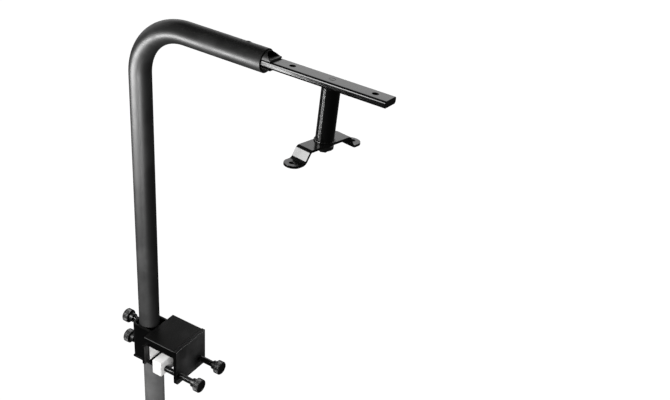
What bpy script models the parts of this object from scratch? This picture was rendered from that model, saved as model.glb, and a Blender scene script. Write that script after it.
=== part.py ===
"""Bike repair stand, upper section: a mast with a rail clamp, a bent tube arm that swivels in the
clamp's socket, and a flat head bar with a swivelling hat-shaped cradle. Metres, +Z up. The origin is
the middle of the mast's foot, and the arm reaches along +X."""

import math

import bmesh
import bpy
from mathutils import Matrix, Vector

MM = 0.001
GAP = 0.3 * MM

# Tube and heights
TUBE_D = 31.75 * MM
TUBE_WALL = 1.65 * MM
CLAMP_TOP = 300 * MM
ARM_RISE = 507 * MM
ARM_AXIS_Z = CLAMP_TOP + ARM_RISE
BEND_RADIUS = 81 * MM
MOUTH_X = 206 * MM

# Mast
MAST_X = 5.75 * MM
PLUG_FLANGE = 6 * MM
PLUG_DEPTH = 22 * MM

# Socket: a bent U-plate round the arm's lower end, with a floor
SOCKET_WALL = 4 * MM
SOCKET_OUT = 20.2 * MM
SOCKET_H = 62.6 * MM
SOCKET_BEND = 9 * MM
FLOOR_T = 4 * MM

# Rail clamp box
BOX_X0 = 18.9 * MM
BOX_X1 = 81.9 * MM
BOX_HALF_Y = 35.2 * MM
BOX_H = 64.9 * MM
PLATE_CORNER = 4.5 * MM
TOP_T = 4 * MM
LIP_H = 13.4 * MM
INNER_WALL_T = 4.6 * MM
INNER_WALL_H = 48.5 * MM
INNER_WALL_HALF_Y = 40.8 * MM
OUTER_PLATE_T = 6 * MM
PAD_T = 1.6 * MM
PAD_HALF_Y = 29.5 * MM
PAD_BOTTOM = 45.5 * MM

# Jaw and its two screws
JAW_X0 = 33.5 * MM
JAW_T = 17.6 * MM
JAW_TOP = 38 * MM
JAW_BOTTOM = 64 * MM
JAW_ROUND = 2 * MM
SCREW_D = 9.5 * MM
SCREW_Y = 25.4 * MM
SCREW_DROP = 52 * MM
SCREW_REACH = 105.5 * MM
THREAD_CLEAR = 0.35 * MM
SCREW_POINT = 1.4 * MM

# Knurled knobs
KNOB_D = 21.5 * MM
KNOB_T = 10 * MM
KNOB_COLLAR_D = 14 * MM
KNOB_COLLAR_T = 6.5 * MM
KNOB_RIBS = 24
KNOB_GROOVE = 0.7 * MM

# Lock screws of the arm, on the socket's back
LOCK_DROPS = {"upper": 9 * MM, "lower": 50 * MM}
LOCK_SHAFT = 10.5 * MM

# Head bar
HEAD_ROLL = math.radians(-6.2)
BAR_W = 26.9 * MM
BAR_T = 9.2 * MM
BAR_ROUND = 2.4 * MM
BAR_TANG_X = 120 * MM
BAR_END_X = 382 * MM
BAR_HOLES = (244.2 * MM, 301.2 * MM, 361.0 * MM)
BAR_HOLE_D = 8.5 * MM
SET_SCREW_X = 175 * MM
SET_SCREW_TILT = math.radians(-20)
SET_SCREW_D = 6 * MM
SET_SCREW_PROUD = 0.4 * MM
SET_SCREW_SOCKET = 2.8 * MM
SET_SCREW_DEEP = 1.4 * MM

# Half-round shims that hold the bar in the arm's mouth, cut to a slope
SHIM_D = TUBE_D - 2 * TUBE_WALL - 2 * GAP
SHIM_WALL = 2.4 * MM
SHIM_X0 = 140 * MM
SHIM_TOP_X = 208 * MM
SHIM_FOOT_X = 220 * MM

# Cradle below the bar
STUB_X = BAR_HOLES[1]
STUB_D = 23.6 * MM
STUB_WALL = 2.6 * MM
SHELF_DROP = 75.5 * MM
STRAP_YAW = math.radians(-9)
STRAP_W = 23 * MM
STRAP_T = 3.4 * MM
SHELF_HALF = 37.5 * MM
FOOT_START = 46 * MM
FOOT_ROUND_Y = 54.5 * MM
FOOT_HOLE = 57 * MM
FOOT_DROP = 14.6 * MM
FOOT_HOLE_D = 6.6 * MM
BOLT_D = 8 * MM
BOLT_HEAD_AF = 13 * MM
BOLT_HEAD_H = 3.4 * MM
BOLT_BELOW_FACE = 0.4 * MM
BOLT_CHAMFER = 0.5 * MM
WASHER_D = 24.4 * MM
WASHER_T = 6 * MM

SIDES = 32

FINISHES = {
    "powder_black": ((0.012, 0.012, 0.013), 0.55, 0.0),
    "satin_black": ((0.02, 0.02, 0.021), 0.38, 0.0),
    "gloss_black": ((0.008, 0.008, 0.009), 0.15, 0.0),
    "knob_black": ((0.03, 0.03, 0.031), 0.42, 0.2),
    "mast_grey": ((0.13, 0.13, 0.132), 0.6, 0.0),
    "jaw_pale": ((0.72, 0.72, 0.71), 0.5, 0.0),
    "dark_steel": ((0.09, 0.09, 0.095), 0.35, 0.9),
    "plug_black": ((0.015, 0.015, 0.015), 0.6, 0.0),
}


def clear_scene():
    for obj in list(bpy.data.objects):
        bpy.data.objects.remove(obj, do_unlink=True)


def collection(name):
    made = bpy.data.collections.new(name)
    bpy.context.scene.collection.children.link(made)
    return made


def finish(name):
    found = bpy.data.materials.get(name)
    if found:
        return found
    color, roughness, metallic = FINISHES[name]
    made = bpy.data.materials.new(name)
    made.use_nodes = True
    shader = made.node_tree.nodes["Principled BSDF"]
    shader.inputs["Base Color"].default_value = (*color, 1)
    shader.inputs["Roughness"].default_value = roughness
    shader.inputs["Metallic"].default_value = metallic
    return made


def place(name, mesh, look, matrix=None, parent=None):
    """A named part made from a mesh in its own axes."""
    obj = bpy.data.objects.new(name, mesh)
    PARTS.objects.link(obj)
    mesh.materials.clear()
    mesh.materials.append(finish(look))
    obj.matrix_world = matrix or Matrix.Identity(4)
    if parent:
        local = parent.matrix_world.inverted() @ obj.matrix_world
        obj.parent = parent
        obj.matrix_parent_inverse = Matrix.Identity(4)
        obj.matrix_local = local
    return obj


def cutter(name, mesh, matrix=None):
    obj = bpy.data.objects.new(name, mesh)
    CUTTERS.objects.link(obj)
    obj.hide_render = True
    obj.display_type = "WIRE"
    obj.matrix_world = matrix or Matrix.Identity(4)
    return obj


def cut(obj, *tools):
    for tool in tools:
        modifier = obj.modifiers.new("cut", "BOOLEAN")
        modifier.operation = "DIFFERENCE"
        modifier.object = tool


def join(obj, *tools):
    for tool in tools:
        modifier = obj.modifiers.new("join", "BOOLEAN")
        modifier.operation = "UNION"
        modifier.object = tool


def round_edges(obj, width, segments=2, angle=30):
    modifier = obj.modifiers.new("edges", "BEVEL")
    modifier.width = width
    modifier.segments = segments
    modifier.limit_method = "ANGLE"
    modifier.angle_limit = math.radians(angle)


def smooth(mesh):
    mesh.shade_smooth()
    mesh.set_sharp_from_angle(angle=math.radians(35))
    return mesh


def box_mesh(low, high):
    low, high = Vector(low), Vector(high)
    mesh = bpy.data.meshes.new("box")
    bm = bmesh.new()
    size = high - low
    middle = Matrix.Translation((low + high) / 2)
    bmesh.ops.create_cube(bm, size=1, matrix=middle @ Matrix.Diagonal((*size, 1)))
    bm.to_mesh(mesh)
    bm.free()
    return mesh


def rod_mesh(diameter, z0, z1, sides=SIDES):
    """A cylinder along its own Z."""
    mesh = bpy.data.meshes.new("rod")
    bm = bmesh.new()
    bmesh.ops.create_cone(
        bm,
        cap_ends=True,
        segments=sides,
        radius1=diameter / 2,
        radius2=diameter / 2,
        depth=z1 - z0,
        matrix=Matrix.Translation((0, 0, (z0 + z1) / 2)),
    )
    bm.to_mesh(mesh)
    bm.free()
    return smooth(mesh)


def turned_mesh(profile, sides=SIDES):
    """A shape turned round Z from (radius, height) points that run down its outer side."""
    outline = bpy.data.meshes.new("profile")
    edges = [(i, i + 1) for i in range(len(profile) - 1)]
    if profile[0][0] > 0:
        edges.append((len(profile) - 1, 0))
    outline.from_pydata([(r, 0, z) for r, z in profile], edges, [])
    holder = bpy.data.objects.new("turning", outline)
    CUTTERS.objects.link(holder)
    holder.hide_render = True
    screw = holder.modifiers.new("turn", "SCREW")
    screw.steps = sides
    screw.render_steps = sides
    screw.use_merge_vertices = True
    screw.merge_threshold = 0.00002
    bpy.context.view_layer.update()
    graph = bpy.context.evaluated_depsgraph_get()
    mesh = bpy.data.meshes.new_from_object(holder.evaluated_get(graph))
    bpy.data.objects.remove(holder, do_unlink=True)
    return smooth(mesh)


def swept_mesh(points, diameter, resolution=14):
    """A round bar along a line of points, its caps welded."""
    curve = bpy.data.curves.new("sweep", "CURVE")
    curve.dimensions = "3D"
    curve.bevel_depth = diameter / 2
    curve.bevel_resolution = resolution
    curve.use_fill_caps = True
    spline = curve.splines.new("POLY")
    spline.points.add(len(points) - 1)
    for slot, point in zip(spline.points, points):
        slot.co = (*point, 1)
    return mesh_of_curve(curve)


def outline_mesh(outlines, thickness):
    """A flat outline in its own XY, thickened both ways along Z; inner outlines are holes."""
    curve = bpy.data.curves.new("outline", "CURVE")
    curve.dimensions = "2D"
    curve.fill_mode = "BOTH"
    curve.extrude = thickness / 2
    for points in outlines:
        spline = curve.splines.new("POLY")
        spline.points.add(len(points) - 1)
        for slot, (x, y) in zip(spline.points, points):
            slot.co = (x, y, 0, 1)
        spline.use_cyclic_u = True
    return mesh_of_curve(curve)


def mesh_of_curve(curve):
    holder = bpy.data.objects.new("curve", curve)
    CUTTERS.objects.link(holder)
    bpy.context.view_layer.update()
    graph = bpy.context.evaluated_depsgraph_get()
    mesh = bpy.data.meshes.new_from_object(holder.evaluated_get(graph))
    bpy.data.objects.remove(holder, do_unlink=True)
    bm = bmesh.new()
    bm.from_mesh(mesh)
    bmesh.ops.remove_doubles(bm, verts=bm.verts, dist=0.00001)
    bmesh.ops.recalc_face_normals(bm, faces=bm.faces)
    bm.to_mesh(mesh)
    bm.free()
    return smooth(mesh)


def arc(centre, radius, start, end, steps):
    """Points in a plane, from one angle in degrees to another."""
    angles = [math.radians(start + (end - start) * i / steps) for i in range(steps + 1)]
    return [(centre[0] + radius * math.cos(a), centre[1] + radius * math.sin(a)) for a in angles]


def joint_empty(name, matrix, parent=None):
    """An empty on a joint's axis, to carry the pieces that move together."""
    made = bpy.data.objects.new(name, None)
    PARTS.objects.link(made)
    made.matrix_world = matrix
    if parent:
        local = parent.matrix_world.inverted() @ matrix
        made.parent = parent
        made.matrix_parent_inverse = Matrix.Identity(4)
        made.matrix_local = local
    bpy.context.view_layer.update()
    return made


def along_x(x, y, z, facing=1):
    """Turns a shape's own Z to +X or -X at a point."""
    return Matrix.Translation((x, y, z)) @ Matrix.Rotation(facing * math.pi / 2, 4, "Y")


def across(x):
    """Stands an outline up at a place along X: its own X runs along Y, its own Y along Z."""
    turned = Matrix.Rotation(math.pi / 2, 4, "Z") @ Matrix.Rotation(math.pi / 2, 4, "X")
    return Matrix.Translation((x, 0, CLAMP_TOP)) @ turned


def arm_path(shorten=0.0):
    """The arm's centre line, from its foot up, round the bend and out to the mouth."""
    foot = CLAMP_TOP - SOCKET_H + GAP
    points = [(0, 0, foot - shorten), (0, 0, ARM_AXIS_Z - BEND_RADIUS)]
    for i in range(1, 19):
        turn = math.radians(90 * i / 18)
        across = BEND_RADIUS * (1 - math.cos(turn))
        up = BEND_RADIUS * math.sin(turn)
        points.append((across, 0, ARM_AXIS_Z - BEND_RADIUS + up))
    points.append((MOUTH_X + shorten, 0, ARM_AXIS_Z))
    return points


def head_axes():
    """The head's own axes: rolled about the arm, with the origin where the stub's axis meets the bar."""
    return Matrix.Translation((STUB_X, 0, ARM_AXIS_Z)) @ Matrix.Rotation(HEAD_ROLL, 4, "X")


def make_mast():
    top = CLAMP_TOP - SOCKET_H - FLOOR_T - GAP
    ring = [(TUBE_D / 2, top), (TUBE_D / 2, PLUG_FLANGE + GAP)]
    ring += [(TUBE_D / 2 - TUBE_WALL, PLUG_FLANGE + GAP), (TUBE_D / 2 - TUBE_WALL, top)]
    at = Matrix.Translation((MAST_X, 0, 0))
    place("mast_tube", turned_mesh(ring), "mast_grey", at)
    spigot_r = TUBE_D / 2 - TUBE_WALL - GAP
    plug = [(0, PLUG_DEPTH), (spigot_r - MM, PLUG_DEPTH), (spigot_r, PLUG_DEPTH - MM)]
    plug += [(spigot_r, PLUG_FLANGE), (TUBE_D / 2, PLUG_FLANGE), (TUBE_D / 2, MM)]
    plug += [(TUBE_D / 2 - MM, 0), (0, 0)]
    place("mast_foot_plug", turned_mesh(plug), "plug_black", at)


def u_outline(out, bend, open_x):
    """Half-closed U outline seen from above: two cheeks and a back with round corners."""
    inside_bend = bend - SOCKET_WALL
    inside = out - SOCKET_WALL
    points = [(open_x, -out), (open_x, -inside)]
    points += arc((-inside + inside_bend, -inside + inside_bend), inside_bend, 270, 180, 5)
    points += arc((-inside + inside_bend, inside - inside_bend), inside_bend, 180, 90, 5)
    points += [(open_x, inside), (open_x, out)]
    points += arc((-out + bend, out - bend), bend, 90, 180, 6)
    points += arc((-out + bend, -out + bend), bend, 180, 270, 6)
    return points


def make_socket():
    middle = Matrix.Translation((0, 0, CLAMP_TOP - SOCKET_H / 2))
    outline = u_outline(SOCKET_OUT, SOCKET_BEND, BOX_X0 - GAP)
    socket = place("arm_socket", outline_mesh([outline], SOCKET_H), "satin_black", middle)
    for name, drop in LOCK_DROPS.items():
        hole = rod_mesh(SCREW_D + 2 * THREAD_CLEAR, -8 * MM, 8 * MM, 24)
        cut(socket, cutter(name + "_lock_hole", hole, along_x(-SOCKET_OUT, 0, CLAMP_TOP - drop)))
    top = CLAMP_TOP - SOCKET_H - GAP
    low = (-SOCKET_OUT + 2 * MM, -SOCKET_OUT, top - FLOOR_T + GAP)
    high = (BOX_X0 + 2 * MM, SOCKET_OUT, top)
    floor = place("socket_floor", box_mesh(low, high), "satin_black")
    round_edges(floor, 0.8 * MM, 1)


def channel_outline():
    """Cross-section of the clamp's top: a flat web with a lip turned down along each long edge."""
    half, inner = BOX_HALF_Y, BOX_HALF_Y - TOP_T
    bend = 2 * TOP_T / 3
    points = [(-half, -LIP_H)] + arc((-half + bend, -bend), bend, 180, 90, 4)
    points += arc((half - bend, -bend), bend, 90, 0, 4) + [(half, -LIP_H)]
    points += [(inner, -LIP_H), (inner, -TOP_T), (-inner, -TOP_T), (-inner, -LIP_H)]
    return points


def make_top():
    length = BOX_X1 - OUTER_PLATE_T - GAP - BOX_X0
    top = outline_mesh([channel_outline()], length)
    place("clamp_top", top, "satin_black", across(BOX_X0 + length / 2))


def make_inner_wall():
    """A plate that is narrow inside the clamp's top and wider below its lips."""
    narrow = BOX_HALF_Y - TOP_T - GAP
    wide = INNER_WALL_HALF_Y
    shoulder = -LIP_H - GAP
    outline = [(-wide, -INNER_WALL_H), (wide, -INNER_WALL_H), (wide, shoulder), (narrow, shoulder)]
    outline += [(narrow, -TOP_T - GAP), (-narrow, -TOP_T - GAP), (-narrow, shoulder), (-wide, shoulder)]
    wall = outline_mesh([outline], INNER_WALL_T)
    place("clamp_inner_wall", wall, "satin_black", across(BOX_X0 + INNER_WALL_T / 2))


def make_outer_plate():
    half, low, r = BOX_HALF_Y, -BOX_H, PLATE_CORNER
    outline = arc((-half + r, low + r), r, 180, 270, 6) + arc((half - r, low + r), r, 270, 360, 6)
    outline += [(half, -MM), (half - MM, 0), (-half + MM, 0), (-half, -MM)]
    mesh = outline_mesh([outline], OUTER_PLATE_T)
    plate = place("clamp_outer_plate", mesh, "satin_black", across(BOX_X1 - OUTER_PLATE_T / 2))
    for side in (-1, 1):
        hole = rod_mesh(SCREW_D + 2 * THREAD_CLEAR, -12 * MM, 12 * MM, 24)
        cut(plate, cutter("plate_hole", hole, along_x(BOX_X1, side * SCREW_Y, CLAMP_TOP - SCREW_DROP)))


def make_pad():
    x0 = BOX_X0 + INNER_WALL_T + GAP
    low = (x0, -PAD_HALF_Y, CLAMP_TOP - PAD_BOTTOM)
    high = (x0 + PAD_T, PAD_HALF_Y, CLAMP_TOP - LIP_H - MM)
    pad = place("fixed_pad", box_mesh(low, high), "jaw_pale")
    round_edges(pad, 0.4 * MM, 1)


def make_jaw():
    origin = Matrix.Translation((JAW_X0, 0, CLAMP_TOP - SCREW_DROP))
    slide = joint_empty("jaw_slide_axis", origin)
    low = (0, -BOX_HALF_Y, SCREW_DROP - JAW_BOTTOM)
    high = (JAW_T, BOX_HALF_Y, SCREW_DROP - JAW_TOP)
    jaw = place("jaw_block", box_mesh(low, high), "jaw_pale", origin, slide)
    round_edges(jaw, JAW_ROUND)
    for side, name in ((-1, "near"), (1, "far")):
        tip = JAW_X0 + JAW_T + GAP
        at = along_x(tip, side * SCREW_Y, CLAMP_TOP - SCREW_DROP)
        length = SCREW_REACH - tip
        shaft = [(0, length), (SCREW_D / 2, length), (SCREW_D / 2, SCREW_POINT)]
        shaft += [(SCREW_D / 2 - SCREW_POINT, 0), (0, 0)]
        place(name + "_jaw_screw", turned_mesh(shaft, 24), "dark_steel", at, slide)
        knob_at = along_x(SCREW_REACH + GAP, side * SCREW_Y, CLAMP_TOP - SCREW_DROP)
        axis = joint_empty(name + "_knob_axis", knob_at, slide)
        place(name + "_jaw_knob", knob_mesh(), "knob_black", knob_at, axis)


def knob_mesh():
    """A knurled thumb knob along its own Z: a collar on the shaft's side and a ribbed head."""
    steps = KNOB_RIBS * 2
    outer = []
    for i in range(steps):
        turn = 2 * math.pi * i / steps
        radius = KNOB_D / 2 - (KNOB_GROOVE if i % 2 else 0)
        outer.append((radius * math.cos(turn), radius * math.sin(turn)))
    mesh = bpy.data.meshes.new("knob")
    bm = bmesh.new()
    rings = []
    low, high = KNOB_COLLAR_T, KNOB_COLLAR_T + KNOB_T
    for height, scale in ((low, 0.9), (low + MM, 1.0), (high - MM, 1.0), (high, 0.88)):
        rings.append([bm.verts.new((x * scale, y * scale, height)) for x, y in outer])
    for lower, upper in zip(rings, rings[1:]):
        for i in range(steps):
            bm.faces.new((lower[i], lower[(i + 1) % steps], upper[(i + 1) % steps], upper[i]))
    bm.faces.new(rings[-1])
    collar_r = KNOB_COLLAR_D / 2
    neck = [[], []]
    for ring, height in zip(neck, (0, KNOB_COLLAR_T)):
        for i in range(steps):
            turn = 2 * math.pi * i / steps
            ring.append(bm.verts.new((collar_r * math.cos(turn), collar_r * math.sin(turn), height)))
    for i in range(steps):
        following = (i + 1) % steps
        bm.faces.new((neck[0][i], neck[0][following], neck[1][following], neck[1][i]))
        bm.faces.new((neck[1][i], neck[1][following], rings[0][following], rings[0][i]))
    bm.faces.new(list(reversed(neck[0])))
    bmesh.ops.recalc_face_normals(bm, faces=bm.faces)
    bm.to_mesh(mesh)
    bm.free()
    return smooth(mesh)


def make_lock_screws():
    for name, drop in LOCK_DROPS.items():
        z = CLAMP_TOP - drop
        tip = -(TUBE_D / 2) - GAP
        end = -SOCKET_OUT - LOCK_SHAFT
        origin = along_x(tip, 0, z, -1)
        slide = joint_empty(name + "_lock_axis", origin)
        length = tip - end
        shaft = [(0, length), (SCREW_D / 2, length), (SCREW_D / 2, SCREW_POINT)]
        shaft += [(SCREW_D / 2 - SCREW_POINT, 0), (0, 0)]
        place(name + "_lock_screw", turned_mesh(shaft, 24), "dark_steel", origin, slide)
        knob_at = along_x(end - GAP, 0, z, -1)
        axis = joint_empty(name + "_lock_knob_axis", knob_at, slide)
        place(name + "_lock_knob", knob_mesh(), "knob_black", knob_at, axis)


def make_arm():
    swivel = joint_empty("arm_swivel_axis", Matrix.Identity(4))
    arm = place("arm_tube", swept_mesh(arm_path(), TUBE_D), "powder_black", None, swivel)
    hollow = swept_mesh(arm_path(5 * MM), TUBE_D - 2 * TUBE_WALL)
    cut(arm, cutter("arm_hollow", hollow))
    make_set_screw(arm, swivel)


def make_set_screw(arm, swivel):
    """A socket set screw just proud of the tube."""
    spot = Matrix.Translation((SET_SCREW_X, 0, ARM_AXIS_Z))
    tilt = spot @ Matrix.Rotation(SET_SCREW_TILT, 4, "X")
    hole = rod_mesh(SET_SCREW_D + 2 * GAP, 8 * MM, 20 * MM, 20)
    cut(arm, cutter("set_screw_hole", hole, tilt))
    crown = TUBE_D / 2 + SET_SCREW_PROUD
    floor = crown - SET_SCREW_DEEP
    tip = SHIM_D / 2 + GAP
    bore = SET_SCREW_SOCKET / 2
    outer = SET_SCREW_D / 2
    grub = [(0, floor), (bore, floor), (bore, crown), (outer, crown), (outer, tip), (0, tip)]
    place("set_screw", turned_mesh(grub, 20), "dark_steel", tilt, swivel)


def make_bar():
    mouth = Matrix.Translation((MOUTH_X, 0, ARM_AXIS_Z)) @ Matrix.Rotation(HEAD_ROLL, 4, "X")
    roll = joint_empty("head_roll_axis", mouth)
    at = head_axes()
    low = (BAR_TANG_X - STUB_X, -BAR_W / 2, -BAR_T / 2)
    high = (BAR_END_X - STUB_X, BAR_W / 2, BAR_T / 2)
    bar = place("head_bar", box_mesh(low, high), "gloss_black", at, roll)
    round_edges(bar, BAR_ROUND, 3)
    for x in BAR_HOLES:
        hole = rod_mesh(BAR_HOLE_D, -BAR_T, BAR_T, 24)
        cut(bar, cutter("bar_hole", hole, at @ Matrix.Translation((x - STUB_X, 0, 0))))
    make_bolt(at, roll)
    for name, side in (("upper", 1), ("lower", -1)):
        make_shim(name, side, at, roll)
    return roll


def make_bolt(at, roll):
    head_top = -SHELF_DROP - STRAP_T - 3 * GAP - WASHER_T
    head_low = head_top - BOLT_HEAD_H
    end = BAR_T / 2 - BOLT_BELOW_FACE
    r, head_r = BOLT_D / 2, BOLT_HEAD_AF / 2
    bolt = [(0, end), (r - BOLT_CHAMFER, end), (r, end - BOLT_CHAMFER), (r, head_top), (head_r, head_top)]
    bolt += [(head_r, head_low + MM), (head_r - MM, head_low), (0, head_low)]
    place("cradle_bolt", turned_mesh(bolt, 24), "dark_steel", at, roll)


def half_round(radius, flat):
    """The part of a circle above a flat, from the flat's left end round to its right end."""
    reach = math.degrees(math.asin(flat / radius))
    return arc((0, 0), radius, 180 - reach, reach, 18)


def make_shim(name, side, at, roll):
    """A hollow half-round filler between the bar and the arm's bore, sloping down to the bar outside."""
    flat = BAR_T / 2 + GAP
    outlines = [half_round(SHIM_D / 2, flat), half_round(SHIM_D / 2 - SHIM_WALL, flat + SHIM_WALL)]
    length = SHIM_FOOT_X - SHIM_X0
    mesh = outline_mesh(outlines, length)
    mesh.transform(Matrix.Rotation(math.pi / 2, 4, "Z") @ Matrix.Rotation(math.pi / 2, 4, "X"))
    flip = Matrix.Rotation(0 if side > 0 else math.pi, 4, "X")
    middle = Matrix.Translation(((SHIM_X0 + SHIM_FOOT_X) / 2 - STUB_X, 0, 0))
    shim = place(name + "_shim", mesh, "satin_black", at @ middle @ flip, roll)
    slope = outline_mesh([[(0, flat), (0, SHIM_D), (SHIM_TOP_X - SHIM_FOOT_X, SHIM_D / 2)]], SHIM_D + MM)
    slope.transform(Matrix.Rotation(math.pi / 2, 4, "X"))
    end = Matrix.Translation((SHIM_FOOT_X - STUB_X, 0, 0))
    cut(shim, cutter(name + "_slope", slope, at @ end @ flip))


def strap_path(offset):
    """Side view of the cradle strap's upper or lower face, as (along, up) points."""
    foot_end = FOOT_ROUND_Y + STRAP_W / 2 + MM
    lean = math.atan2(FOOT_DROP, FOOT_START - SHELF_HALF)
    shift = offset * math.tan(lean / 2)
    foot = offset - FOOT_DROP
    right = [(SHELF_HALF - shift, offset), (FOOT_START - shift, foot), (foot_end, foot)]
    return [(-a, b) for a, b in reversed(right)] + right


def strap_mesh():
    """The hat-shaped strap: a bent band along its own Y, thickness below the shelf's top face."""
    upper = strap_path(0)
    lower = strap_path(-STRAP_T)
    mesh = outline_mesh([upper + list(reversed(lower))], STRAP_W)
    mesh.transform(Matrix.Rotation(math.pi / 2, 4, "Z") @ Matrix.Rotation(math.pi / 2, 4, "X"))
    return mesh


def foot_trim_mesh():
    """Plan of the strap with round ends, as a tall cutter that keeps what is inside it."""
    r = STRAP_W / 2
    points = arc((0, FOOT_ROUND_Y), r, 0, 180, 12) + arc((0, -FOOT_ROUND_Y), r, 180, 360, 12)
    return outline_mesh([points], 60 * MM)


def make_cradle(roll):
    at = head_axes() @ Matrix.Rotation(STRAP_YAW, 4, "Z")
    swivel = joint_empty("cradle_swivel_axis", at, roll)
    top = -BAR_T / 2 - GAP
    bottom = -SHELF_DROP + GAP
    inner = STUB_D / 2 - STUB_WALL
    stub = [(STUB_D / 2, top), (STUB_D / 2, bottom), (inner, bottom), (inner, top)]
    place("cradle_stub", turned_mesh(stub), "gloss_black", at, swivel)

    shelf = at @ Matrix.Translation((0, 0, -SHELF_DROP))
    strap = place("cradle_strap", strap_mesh(), "gloss_black", shelf, swivel)
    trim = strap.modifiers.new("round_feet", "BOOLEAN")
    trim.operation = "INTERSECT"
    trim.object = cutter("foot_trim", foot_trim_mesh(), shelf)
    holes = ((0, BOLT_D + 0.8 * MM), (FOOT_HOLE, FOOT_HOLE_D), (-FOOT_HOLE, FOOT_HOLE_D))
    for y, diameter in holes:
        hole = rod_mesh(diameter, -SHELF_DROP - 30 * MM, -SHELF_DROP + 10 * MM, 20)
        cut(strap, cutter("strap_hole", hole, at @ Matrix.Translation((0, y, 0))))

    high = -SHELF_DROP - STRAP_T - GAP
    low = high - WASHER_T
    hole_r = BOLT_D / 2 + 0.4 * MM
    washer = [(WASHER_D / 2, high), (WASHER_D / 2, low), (hole_r, low), (hole_r, high)]
    place("cradle_washer", turned_mesh(washer), "dark_steel", at, swivel)


clear_scene()
PARTS = collection("bike_repair_stand")
CUTTERS = collection("cutters")
make_mast()
make_socket()
make_top()
make_inner_wall()
make_outer_plate()
make_pad()
make_jaw()
make_lock_screws()
make_arm()
make_cradle(make_bar())
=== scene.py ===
"""The upper section of a bike repair stand in full detail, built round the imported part: the mast and
its rail clamp, the bent arm, the head bar and the hat-shaped cradle, on a plain pale stage."""

import math

import bmesh
import bpy
from bpy.props import FloatProperty, FloatVectorProperty, IntProperty, PointerProperty
from bpy.types import Operator, Panel, PropertyGroup
from mathutils import Matrix, Vector


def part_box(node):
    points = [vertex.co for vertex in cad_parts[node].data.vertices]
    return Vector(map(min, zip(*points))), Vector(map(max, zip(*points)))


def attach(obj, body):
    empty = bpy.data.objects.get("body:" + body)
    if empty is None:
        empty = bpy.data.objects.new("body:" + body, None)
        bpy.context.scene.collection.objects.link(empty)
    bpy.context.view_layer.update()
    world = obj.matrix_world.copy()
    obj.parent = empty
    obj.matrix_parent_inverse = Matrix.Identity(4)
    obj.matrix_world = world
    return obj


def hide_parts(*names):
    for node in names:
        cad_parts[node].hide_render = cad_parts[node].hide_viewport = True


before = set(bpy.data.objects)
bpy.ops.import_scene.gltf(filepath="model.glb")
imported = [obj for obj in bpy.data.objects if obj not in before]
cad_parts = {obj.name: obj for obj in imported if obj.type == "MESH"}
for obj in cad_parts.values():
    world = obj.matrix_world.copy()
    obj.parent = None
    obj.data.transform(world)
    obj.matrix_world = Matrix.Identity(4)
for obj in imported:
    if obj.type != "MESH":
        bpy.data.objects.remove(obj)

bl_info = {
    "name": "Bike repair stand, upper section",
    "version": (1, 0, 0),
    "blender": (4, 5, 0),
    "location": "3D View > Sidebar > Repair stand",
    "description": "Builds the detailed pieces of a bike repair stand round its packed part",
    "category": "Add Mesh",
}

MM = 0.001
QUARTER = math.pi / 2
TINY = 1e-6
SMOOTH_ANGLE = math.radians(42)
GAP = 0.3 * MM
OVER = 8 * MM

# Shares of the pitch along one turn of a thread
THREAD_FLANK = 0.42
THREAD_CREST = 0.12
THREAD_ROOT = 0.04

# Softened edges, in millimetres
EDGES = {
    "bar": 0.5,
    "filler": 0.35,
    "stub": 0.5,
    "washer": 0.8,
    "strap": 0.45,
    "floor": 0.8,
    "plate": 0.8,
    "lid": 0.4,
    "wall": 0.45,
    "jaw": 2.0,
    "pad": 0.4,
}
DUST_COLOUR = (0.18, 0.175, 0.165, 1)

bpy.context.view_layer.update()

ARM_LOW, ARM_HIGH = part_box("arm_tube")
BAR_LOW, BAR_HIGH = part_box("head_bar")
TOP_LOW, TOP_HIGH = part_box("clamp_top")
WALL_LOW, WALL_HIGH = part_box("clamp_inner_wall")
PLATE_LOW, PLATE_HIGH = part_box("clamp_outer_plate")
SOCKET_LOW, SOCKET_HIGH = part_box("arm_socket")
FLOOR_LOW, FLOOR_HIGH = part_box("socket_floor")
PAD_LOW, PAD_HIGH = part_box("fixed_pad")
JAW_LOW, JAW_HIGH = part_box("jaw_block")
MAST_LOW, MAST_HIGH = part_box("mast_tube")
PLUG_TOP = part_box("mast_foot_plug")[1].z
TUBE_R = (ARM_HIGH.y - ARM_LOW.y) / 2
ARM_Z = ARM_HIGH.z - TUBE_R
CLAMP_TOP = TOP_HIGH.z
MAST_X = (MAST_LOW.x + MAST_HIGH.x) / 2


def length(name, description, default):
    """A length in metres, as a property."""
    return FloatProperty(
        name=name, description=description, default=default, min=0, precision=5, unit="LENGTH"
    )


def angle(name, description, degrees):
    default = math.radians(degrees)
    return FloatProperty(name=name, description=description, default=default, unit="ROTATION")


def share(name, description, default):
    return FloatProperty(name=name, description=description, default=default, min=0)


def colour(name, description, grey, warmth=0.0):
    """A linear colour, close to grey."""
    default = (grey * (1 + warmth), grey, grey * (1 - warmth))
    return FloatVectorProperty(
        name=name, description=description, default=default, min=0, max=1, size=3, subtype="COLOR"
    )


class StandTubeSizes(PropertyGroup):
    wall: length("Tube wall", "Wall of the arm and the mast", 1.65 * MM)
    bend_radius: length("Bend radius", "Radius of the arm's bend at its centre line", 81 * MM)
    rim_round: length("Rim rounding", "Rounding of the tubes' cut ends", 0.45 * MM)
    set_screw_x: length("Set screw place", "Distance of the set screw from the arm's swivel axis", 175 * MM)
    set_screw_tilt: angle("Set screw tilt", "Lean of the set screw from straight up", -20)
    set_screw: length("Set screw", "Diameter of the set screw", 6 * MM)
    set_screw_hole: length("Set screw hole", "Diameter of the set screw's hole", 6.6 * MM)
    set_screw_proud: length("Set screw rise", "Height of the set screw above the tube", 0.4 * MM)
    set_screw_socket: length("Set screw socket", "Diameter of the socket in the set screw", 2.8 * MM)
    set_screw_depth: length("Socket depth", "Depth of the socket in the set screw", 1.4 * MM)


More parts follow.
